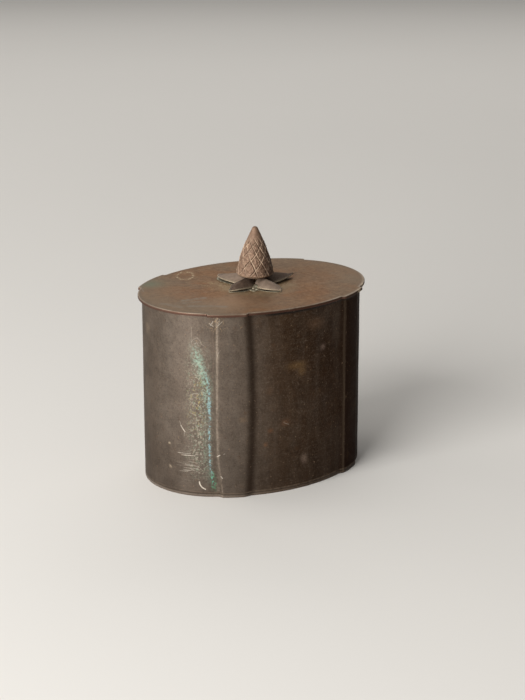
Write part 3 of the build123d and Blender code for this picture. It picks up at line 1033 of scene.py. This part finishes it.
def make_lid():
    """The lid plate: a flat top and underside, a rounded edge, and the stud's hole."""
    low, high = LID_LOW.z, LID_HIGH.z
    shape = (LID_PADS, LID_GROW, LID_STEP_RUNS, LID_STEP_SOFTNESS)
    points, normals, _ = lobed_ring(*shape, LID_COLUMNS)
    top_corner, low_corner = 0.4 * MM, 0.2 * MM
    turns = np.arctan2(*(points - FINIAL_AT).T[::-1])
    hole_ring = FINIAL_AT + on_circle(turns, STUD_HOLE)

    def plate_rows(height, inset):
        spokes = points - normals * inset - hole_ring
        plans = [hole_ring + spokes * share for share in LID_ROWS]
        return [at_height(flat, height + lid_lift(flat)) for flat in plans]

    rings = plate_rows(low, low_corner)[::-1]
    edge = quarter((-low_corner, low + low_corner), low_corner, -90, 0)[1:]
    edge += quarter((-top_corner, high - top_corner), top_corner, 0, 90)[:-1]
    for grow, height in edge:
        flat = points + normals * grow
        rings.append(at_height(flat, height + lid_lift(flat)))
    rings += plate_rows(high, top_corner)
    lid = loft("lid_sheet", rings, closed=True)
    from_finial = np.linalg.norm(np.concatenate(rings)[:, :2] - FINIAL_AT, axis=1)
    reach = np.tile(np.linalg.norm(points - FINIAL_AT, axis=1), len(rings))
    set_attribute(lid, "rim", (reach - from_finial) / MM)
    set_attribute(lid, "from_finial", from_finial / MM)
    return settle(lid, "lid", "lid", "lid_sheet", "lid_plate")


def make_collar():
    """The strip under the lid, with rounded edges and a soldered joint."""
    low, high = COLLAR_LOW.z, COLLAR_HIGH.z
    rim = COLLAR_SHEET / 2
    inset = WALL_SHEET + COLLAR_CLEARANCE
    turns = np.radians(np.linspace(180, 360, 9))
    section = [(inset + rim + rim * math.cos(t), low + rim + rim * math.sin(t)) for t in turns]
    section = section[::-1]
    section += [(inset, z) for z in np.linspace(low + rim, high, 8)[1:]]
    section += [(inset + COLLAR_SHEET, z) for z in np.linspace(high, low + rim, 8)[:-1]]
    points, normals, _ = wall_ring_plain(720)
    rings = []
    for inward, height in section:
        wave = 0.12 * MM * (field(at_height(points, height), 18 * MM, 8) - 0.7)
        rings.append(at_height(points + normals * (wave - inward)[:, None], height))
    collar = loft("collar_strip", rings[::-1], closed=True)
    settle(collar, "inside", "lid", "collar_sheet", "lid_collar")
    inner = points - normals * (inset + COLLAR_SHEET + 0.2 * MM)
    line = bead("collar_solder", inner, normals, high - 0.2 * MM, 0.6 * MM, 0.6 * MM, 9)
    settle(line, "solder", "lid", "lid_sheet")


make_lid()
make_collar()

# ---------------------------------------------------------------- the finial

# Each leaf: direction in degrees, length and half width in millimetres, how blunt its tip is, how
# far its tip and its edges stand off the lid in millimetres, and its painted light and shade from 0,
# dark, to 1.
LEAVES = (
    (6, 26.3, 6.2, 1.3, 1.0, 0.5, 0.12),
    (111, 24.8, 6.6, 2.2, 0.9, 0.5, 0.80),
    (194, 19.6, 5.6, 1.3, 0.1, 0.8, 0.18),
    (283, 18.9, 5.6, 1.5, 0.1, 0.6, 1.0),
)
LEAF_SHEET = 0.8 * MM
LEAF_ROOT = 3.0 * MM
LEAF_WIDEST = 9.0 * MM
LEAF_RIDGE = CALYX_HIGH.z - CALYX_LOW.z
LEAF_STATIONS = 34
LEAF_ACROSS = 29


def leaf_half_width(reach, length, half_width, blunt):
    """Half the leaf's width at a distance from the finial's middle."""
    if reach < LEAF_WIDEST:
        share = (reach - LEAF_ROOT) / (LEAF_WIDEST - LEAF_ROOT)
        return half_width * (0.80 + 0.20 * math.sin(math.pi / 2 * share))
    taper = (reach - LEAF_WIDEST) / (length - LEAF_WIDEST)
    return half_width * max(1 - taper ** (1.5 + 0.4 * blunt), 0.0) ** (1.1 / blunt + 0.15)


def leaf_frame(turn):
    """A leaf's unit directions: out along it and across it."""
    out = np.array([math.cos(math.radians(turn)), math.sin(math.radians(turn))])
    return out, np.array([-out[1], out[0]])


def make_leaf(index, turn, length, half_width, blunt, tip_stand, edge_stand, shade):
    """One leaf: a roof-shaped sheet that bows down from the hub to its tip."""
    out, side = leaf_frame(turn)
    length, half_width = length * MM, half_width * MM
    across = np.linspace(-1, 1, LEAF_ACROSS)
    roof = 1 - (across**2 + 0.006) ** 0.62
    rings, edges = [], []
    for share in np.sin(np.linspace(0, math.pi / 2, LEAF_STATIONS)):
        reach = LEAF_ROOT + (length - LEAF_ROOT) * share
        half = max(leaf_half_width(reach, length, half_width, blunt), 0.15 * MM)
        low = LEAF_SHEET + 0.1 * MM + tip_stand * MM * share**2
        low += edge_stand * MM * math.sin(math.pi * share)
        ridge = max((LEAF_RIDGE - 0.1 * MM) * (1 - share**1.9) ** 0.8, low)
        ridge += tip_stand * 0.4 * MM * share**2
        seeds = np.column_stack([index * 9.1 + across * 1.3, np.full(LEAF_ACROSS, share * 4), across * 0])
        wobble = 0.2 * MM * field(seeds, 1.0, 3)
        rise = np.clip(low + (ridge - low) * roof + wobble, LEAF_SHEET + 0.05 * MM, LEAF_RIDGE)
        top_z = CALYX_LOW.z + rise
        low_z = np.maximum(top_z - LEAF_SHEET * (1 - 0.35 * np.abs(across) ** 6), CALYX_LOW.z)
        middle = FINIAL_AT + out * reach
        middle = middle + side * 0.5 * MM * noise.noise(Vector((index * 3.7, share * 2.5, 0.4)))
        flat = middle + side * (half * across)[:, None]
        lip = side * 0.28 * MM
        top, under = at_height(flat, top_z), at_height(flat, low_z)
        right = np.append(flat[-1] + lip, (top_z[-1] + low_z[-1]) / 2)
        left = np.append(flat[0] - lip, (top_z[0] + low_z[0]) / 2)
        rings.append(np.vstack([top, right, under[::-1], left]))
        rim = np.maximum(np.abs(across) ** 12, float(smoothstep(share, 0.95, 1.0)))
        edges.append(np.concatenate([rim, [1.0], rim[::-1], [1.0]]))
    leaf = loft(f"leaf_{index}", rings[::-1], cap_start=True, cap_end=True)
    edge = np.concatenate([*edges[::-1], [1.0, 0.0]])
    set_attribute(leaf, "edge", edge)
    set_attribute(leaf, "shade", np.full(len(edge), shade))
    return leaf


def make_film(index, turn, length, half_width, blunt, *_):
    """The thin uneven skin of solder that spreads on the lid past a leaf's outline."""
    out, side = leaf_frame(turn)
    length, half_width = length * MM, half_width * MM
    spread = 0.7 * MM
    reaches = np.linspace(LEAF_ROOT + 2 * MM, length, 40)
    halves = np.array([leaf_half_width(r, length, half_width, blunt) for r in reaches])
    one_side = np.column_stack([reaches, halves])
    outline = np.vstack([one_side, one_side[-2::-1] * (1, -1)])
    middle = outline.mean(0)
    away_from = outline - middle
    away_from /= np.linalg.norm(away_from, axis=1)[:, None]
    seeds = np.column_stack([outline / MM, np.full(len(outline), index * 5.0)])
    uneven = 0.5 + 0.5 * field(seeds, 2.4, 15) + 0.3 * field(seeds, 0.9, 16)
    outline = outline + away_from * (spread * uneven)[:, None]
    rings = []
    for share, height in ((1.03, -0.1), (1.0, 0.08), (0.96, 0.16), (0.8, 0.16)):
        local = middle + (outline - middle) * share
        flat = FINIAL_AT + local[:, :1] * out + local[:, 1:] * side
        rings.append(at_height(flat, CALYX_LOW.z + height * MM))
    return loft(f"film_{index}", rings[::-1], cap_start=True, cap_end=True)


def make_calyx():
    """The four leaves and their hub, as one sheet."""
    parts = [make_leaf(index, *leaf) for index, leaf in enumerate(LEAVES)]
    hub_radius, half = 6.4 * MM, LEAF_SHEET / 2
    top, low = CALYX_HIGH.z, CALYX_HIGH.z - LEAF_SHEET
    profile = [(STUD_HOLE, low), (STUD_HOLE, top), (hub_radius * 0.5, top), (hub_radius - half, top)]
    profile += quarter((hub_radius - half, low + half), half, 80, -90, 7)
    profile += [(hub_radius * 0.5, low)]
    hub = loft("calyx_hub", turned(profile, full_turn(96)), closed=True)
    set_attribute(hub, "edge", np.zeros(len(hub.data.vertices)))
    # The hub's painted light and shade.
    set_attribute(hub, "shade", np.full(len(hub.data.vertices), 0.3))
    calyx = join("calyx_leaves", [hub, *parts])
    return settle(calyx, "calyx", "lid", "calyx_sheet", "leaf_calyx")


def blob(name, place, size, seed):
    """A small lump of solder: a round blob, flat below and uneven all over."""
    rings = []
    for tilt in np.linspace(-1.2, 1.45, 14):
        ring = []
        for turn in full_turn(28):
            level = math.cos(tilt)
            way = Vector((math.cos(turn) * level, math.sin(turn) * level, math.sin(tilt)))
            uneven = 1 + 0.35 * noise.noise(way * 1.6 + Vector((seed, 0, 0)))
            uneven += 0.12 * noise.noise(way * 4.5 + Vector((0, seed, 0)))
            spot = Vector(place) + way * Vector(size) * uneven
            ring.append((spot.x, spot.y, max(spot.z, CALYX_LOW.z - 0.3 * MM)))
        rings.append(np.array(ring))
    return loft(name, rings, cap_start=True, cap_end=True)


# Lumps of solder between the leaves: direction in degrees, and distance out and half sizes in
# millimetres.
SOLDER_LUMPS = (
    (240, 6.8, (3.2, 2.8, 2.2)),
    (247, 9.4, (2.8, 2.0, 1.0)),
    (231, 9.6, (2.6, 1.8, 0.8)),
    (238, 11.6, (1.9, 1.2, 0.5)),
    (152, 7.4, (2.4, 2.4, 1.8)),
    (58, 7.6, (2.4, 2.4, 1.8)),
    (324, 7.6, (2.0, 2.0, 1.7)),
)


def make_leaf_solder():
    """Solder between the leaves, most of it at the front, and a skin of it round three of them."""
    parts = []
    for index, (turn, reach, size) in enumerate(SOLDER_LUMPS):
        spot = (*(FINIAL_AT + leaf_frame(turn)[0] * reach * MM), CALYX_LOW.z)
        parts.append(blob(f"lump_{index}", spot, [s * MM for s in size], index * 3.1))
    parts += [make_film(index, *leaf) for index, leaf in enumerate(LEAVES) if index]
    solder = join("calyx_solder", parts)
    return settle(solder, "solder", "lid", "calyx_sheet")


# The cone's outline: radius against height above its base, from the CAD's own curve.
CONE_BASE_Z = CALYX_HIGH.z + 0.6 * MM
CONE_RADIUS = CONE_HIGH.x - FINIAL.x
CONE_HEIGHT = CONE_HIGH.z - CONE_BASE_Z
CONE_WAIST = (6.45 * MM, 13.8 * MM)
CONE_TIP_SIDE = (1.7 * MM, 25.0 * MM)
CONE_SHOULDER = 0.9 * MM
CONE_FOOT_RADIUS = 9.4 * MM
CONE_NECK_RADIUS = 5.0 * MM
CONE_COLUMNS = 520
CONE_ROWS = 320

# The incised lines: how many, which way and how steeply they wind, where one of them passes (its
# angle from the middle, in degrees, and a height above the base), and how much its lip stands out and how
# strong its painted highlight is.
CONE_LINES = (
    (10, -1, 0.55, -124.7, 5.0 * MM, 1.0),
    (8, 1, 0.82, -142.1, 8.5 * MM, 0.7),
)
LINE_DEPTH = 0.46 * MM
LINE_WIDTH = 0.22 * MM
LINE_OFFSET = -0.20 * MM
LIP_HEIGHT = 0.36 * MM
LIP_WIDTH = 0.28 * MM
LIP_OFFSET = 0.22 * MM


def cone_side(count):
    """(radius, height above base) up the cone's side, closing in a rounded tip."""
    first = np.array([CONE_RADIUS, CONE_SHOULDER])
    side = arc_points(first, np.array(CONE_WAIST), np.array(CONE_TIP_SIDE), 0.01 * MM)
    drop = CONE_HEIGHT - CONE_TIP_SIDE[1]
    radius = (CONE_TIP_SIDE[0] ** 2 + drop**2) / (2 * drop)
    start = math.atan2(radius - drop, CONE_TIP_SIDE[0])
    tip = [
        (radius * math.cos(t), CONE_HEIGHT - radius + radius * math.sin(t))
        for t in np.linspace(start, math.pi / 2, 40)
    ]
    line = np.vstack([[(CONE_FOOT_RADIUS, 0.0)], side, tip])
    run = np.concatenate([[0], np.cumsum(np.linalg.norm(np.diff(line, axis=0), axis=1))])
    wanted = np.linspace(0, run[-1], count)
    return np.stack([np.interp(wanted, run, line[:, 0]), np.interp(wanted, run, line[:, 1])], 1)


def make_cone():
    """The pine cone: two families of incised lines wind round it and leave diamond cells.

    Each line is a groove with a raised lip on one side. The cells are rough, with a small boss.
    """
    around = CONE_COLUMNS
    turns = full_turn(around)
    side = cone_side(CONE_ROWS)
    steps = np.diff(side[:, 1], prepend=0.0) / np.maximum(side[:, 0], 1.2 * MM)
    winding = np.cumsum(steps)
    profile, ridge_rows, cell_rows = [], [], []
    for (radius, height), wound in zip(side, winding):
        share = height / CONE_HEIGHT
        fade = float(smoothstep(share, 0.84, 0.62)) * float(smoothstep(share, 0.0, 0.06))
        spots = at_height(on_circle(turns, radius), height)
        groove, lip, phases = np.zeros(around), np.zeros(around), []
        for count, way, slant, at_turn, start_height, stand in CONE_LINES:
            start = np.interp(start_height, side[:, 1], winding)
            bent = 0.05 * field(spots, 6 * MM, 12 + way)
            phase = turns - math.radians(at_turn) - way * slant * (wound - start) + bent
            phase = phase * count / (2 * math.pi)
            pitch = 2 * math.pi * radius / count / math.hypot(1, slant)
            gap = (phase - np.round(phase)) * pitch
            strength = np.clip(0.75 + 0.55 * field(spots, 5 * MM, 20 + way), 0.25, 1)
            groove = np.maximum(groove, strength * hump(gap, LINE_OFFSET, LINE_WIDTH))
            lip = np.maximum(lip, stand * strength * hump(gap, LIP_OFFSET, LIP_WIDTH))
            phases.append(np.abs(phase - np.round(phase)))
        boss = np.clip(1 - np.hypot(phases[0] - 0.5, phases[1] - 0.5) / 0.16, 0, 1)
        rough = field(spots, 1.05 * MM, 13)
        relief = (LIP_HEIGHT * lip - LINE_DEPTH * groove + 0.14 * MM * boss) * fade
        relief += (0.06 + 0.22 * fade) * MM * rough - LIP_HEIGHT * 0.4
        relief += 0.08 * MM * field(spots, 4 * MM, 14) + 0.08 * MM * fade * field(spots, 1.7 * MM, 17)
        reach = np.clip(radius + relief * float(smoothstep(share, 1.0, 0.93)), 0.02 * MM, CONE_RADIUS)
        profile.append((reach, CONE_BASE_Z + height))
        # ridge is a painted highlight on the lips and wear at the foot; cell is painted shade in the
        # grooves.
        foot_wear = 0.7 * hump(height, 0.6 * MM, 0.5 * MM) * np.clip(0.6 + rough, 0, 1)
        ridge_rows.append(np.maximum(lip * fade, foot_wear))
        cell_rows.append(np.clip(groove + 0.5 * np.clip(-rough, 0, 1), 0, 1) * fade)
    under = [(CONE_NECK_RADIUS, CONE_LOW.z), (CONE_NECK_RADIUS, CONE_BASE_Z)]
    under += [(CONE_FOOT_RADIUS * share, CONE_BASE_Z) for share in (0.75, 0.92)]
    blank = [np.zeros(around)] * len(under)
    rings = turned(under + profile[:-1], turns)
    cone = loft("cone_casting", rings, cap_start=True, cap_end=True)
    set_attribute(cone, "ridge", np.concatenate([*blank, *ridge_rows[:-1], [0.0, 0.0]]))
    set_attribute(cone, "cell", np.concatenate([*blank, *cell_rows[:-1], [0.0, 0.0]]))
    return settle(cone, "cone", "lid", "cast_cone", "pine_cone")


def make_stud():
    """The stud, with a fine thread cut on it and chamfered ends."""
    radius = (STUD_HIGH.x - STUD_LOW.x) / 2
    pitch, depth, chamfer = 0.7 * MM, 0.22 * MM, 0.35 * MM
    turns = full_turn(48)
    profile = []
    for height in np.arange(STUD_LOW.z, STUD_HIGH.z + 0.01 * MM, 0.1 * MM):
        wave = np.cos(2 * math.pi * (height - STUD_LOW.z) / pitch - turns)
        ends = min(height - STUD_LOW.z, STUD_HIGH.z - height)
        taper = chamfer * (1 - float(smoothstep(ends, 0.0, chamfer)))
        profile.append((radius + depth * (wave - 1) / 2 - taper, height))
    stud = loft("stud_rod", turned(profile, turns), cap_start=True, cap_end=True)
    return settle(stud, "fixing", "lid", "fixing_metal", "finial_stud")


def make_washer():
    """The washer, with rounded edges."""
    low, high = WASHER_LOW.z, WASHER_HIGH.z
    radius = (WASHER_HIGH.x - WASHER_LOW.x) / 2
    corner = 0.25 * MM
    profile = quarter((radius - corner, low + corner), corner, -90, 0)
    profile += quarter((radius - corner, high - corner), corner, 0, 90)
    profile += quarter((STUD_HOLE + corner, high - corner), corner, 90, 180)
    profile += quarter((STUD_HOLE + corner, low + corner), corner, 180, 270)
    washer = loft("washer_ring", turned(profile, full_turn(96)), closed=True)
    return settle(washer, "fixing", "lid", "fixing_metal", "stud_washer")


def make_nut():
    """The square nut, with turned corners and chamfered faces."""
    low, high = NUT_LOW.z, NUT_HIGH.z
    half, corner_radius = (NUT_HIGH.x - NUT_LOW.x) / 2, 4.3 * MM
    hole, chamfer, hole_chamfer = 1.6 * MM, 0.4 * MM, 0.3 * MM
    turns = full_turn(160)
    square = half / np.maximum(np.abs(np.cos(turns)), np.abs(np.sin(turns)))
    edges = [(low, chamfer), (low + chamfer, 0), (high - chamfer, 0), (high, chamfer)]
    profile = [(np.minimum(square, corner_radius - cut), height) for height, cut in edges]
    profile += [(hole + hole_chamfer, high), (hole, high - hole_chamfer)]
    profile += [(hole, low + hole_chamfer), (hole + hole_chamfer, low)]
    nut = loft("nut_square", turned(profile, turns), closed=True)
    nut.data.polygons.foreach_set("use_smooth", [False] * len(nut.data.polygons))
    return settle(nut, "fixing", "lid", "fixing_metal", "stud_nut")


make_calyx()
make_leaf_solder()
make_cone()
make_stud()
make_washer()
make_nut()

# ---------------------------------------------------------------- floor, light and camera

VIEW_TURN = -32.3
VIEW_TILT = 17.9
VIEW_DISTANCE = 1.0807
VIEW_HEIGHT = 64.8 * MM
VIEW_SIDE = 5.47 * MM
LENS = 102.86
FLOOR_REACH = 12.0
FLOOR_SQUARES = 12
WORLD_COLOUR = (1.0, 0.98, 0.95, 1.0)
WORLD_STRENGTH = 0.15
# Each light: name, turn from the camera and tilt in degrees, distance, width, height, watts, colour.
LIGHTS = (
    ("key_light", -36, 22, 1.6, 1.1, 1.2, 38.0, (1.0, 0.99, 0.975)),
    ("back_light", 178, 32, 1.8, 2.4, 1.0, 9.5, (1.0, 0.985, 0.965)),
    ("top_light", -70, 62, 1.6, 1.4, 1.4, 4.5, (1.0, 0.99, 0.975)),
    ("side_light", -112, 12, 1.6, 1.0, 1.0, 6.0, (1.0, 0.98, 0.95)),
)


def away(turn, tilt):
    """Unit vector from the object towards a place at an azimuth and an elevation in degrees."""
    a, e = math.radians(turn), math.radians(tilt)
    return Vector((math.sin(a) * math.cos(e), -math.cos(a) * math.cos(e), math.sin(e)))


def make_floor():
    """A pale floor that reaches past the edges of any view."""
    steps = np.linspace(-FLOOR_REACH, FLOOR_REACH, FLOOR_SQUARES + 1)
    points = [(x, y, 0.0) for y in steps for x in steps]
    count = len(steps)
    faces = []
    for row in range(count - 1):
        for column in range(count - 1):
            first = row * count + column
            faces.append((first, first + 1, first + count + 1, first + count))
    floor = new_mesh("studio_floor", points, faces)
    floor.data.materials.append(PAINTS["floor"])


def softbox(name, turn, tilt, distance, wide, tall, watts, tint):
    """A rectangular soft light that faces the object. turn is from the camera's own direction."""
    data = bpy.data.lights.new(name, "AREA")
    data.shape = "RECTANGLE"
    data.size, data.size_y = wide, tall
    data.energy = watts
    data.color = tint
    lamp = bpy.data.objects.new(name, data)
    bpy.context.scene.collection.objects.link(lamp)
    way = away(VIEW_TURN + turn, tilt)
    lamp.location = Vector((0, 0, VIEW_HEIGHT)) + way * distance
    lamp.rotation_mode = "QUATERNION"
    lamp.rotation_quaternion = (-way).to_track_quat("-Z", "Y")
    lamp.visible_camera = False


def make_camera():
    """The camera, at the photograph's viewing angle."""
    data = bpy.data.cameras.new("camera")
    data.lens = LENS
    data.clip_start, data.clip_end = 0.02, 60.0
    camera = bpy.data.objects.new("camera", data)
    bpy.context.scene.collection.objects.link(camera)
    back = away(VIEW_TURN, VIEW_TILT)
    right = Vector((math.cos(math.radians(VIEW_TURN)), math.sin(math.radians(VIEW_TURN)), 0))
    camera.location = right * VIEW_SIDE + Vector((0, 0, VIEW_HEIGHT)) + back * VIEW_DISTANCE
    camera.rotation_mode = "QUATERNION"
    camera.rotation_quaternion = (-back).to_track_quat("-Z", "Y")
    bpy.context.scene.camera = camera


def make_world():
    """Even, dim studio air."""
    world = bpy.data.worlds.new("studio")
    world.use_nodes = True
    back = world.node_tree.nodes["Background"]
    back.inputs["Color"].default_value = WORLD_COLOUR
    back.inputs["Strength"].default_value = WORLD_STRENGTH
    bpy.context.scene.world = world


make_floor()
make_camera()
make_world()
for light in LIGHTS:
    softbox(*light)
bpy.context.scene.view_settings.view_transform = "Standard"
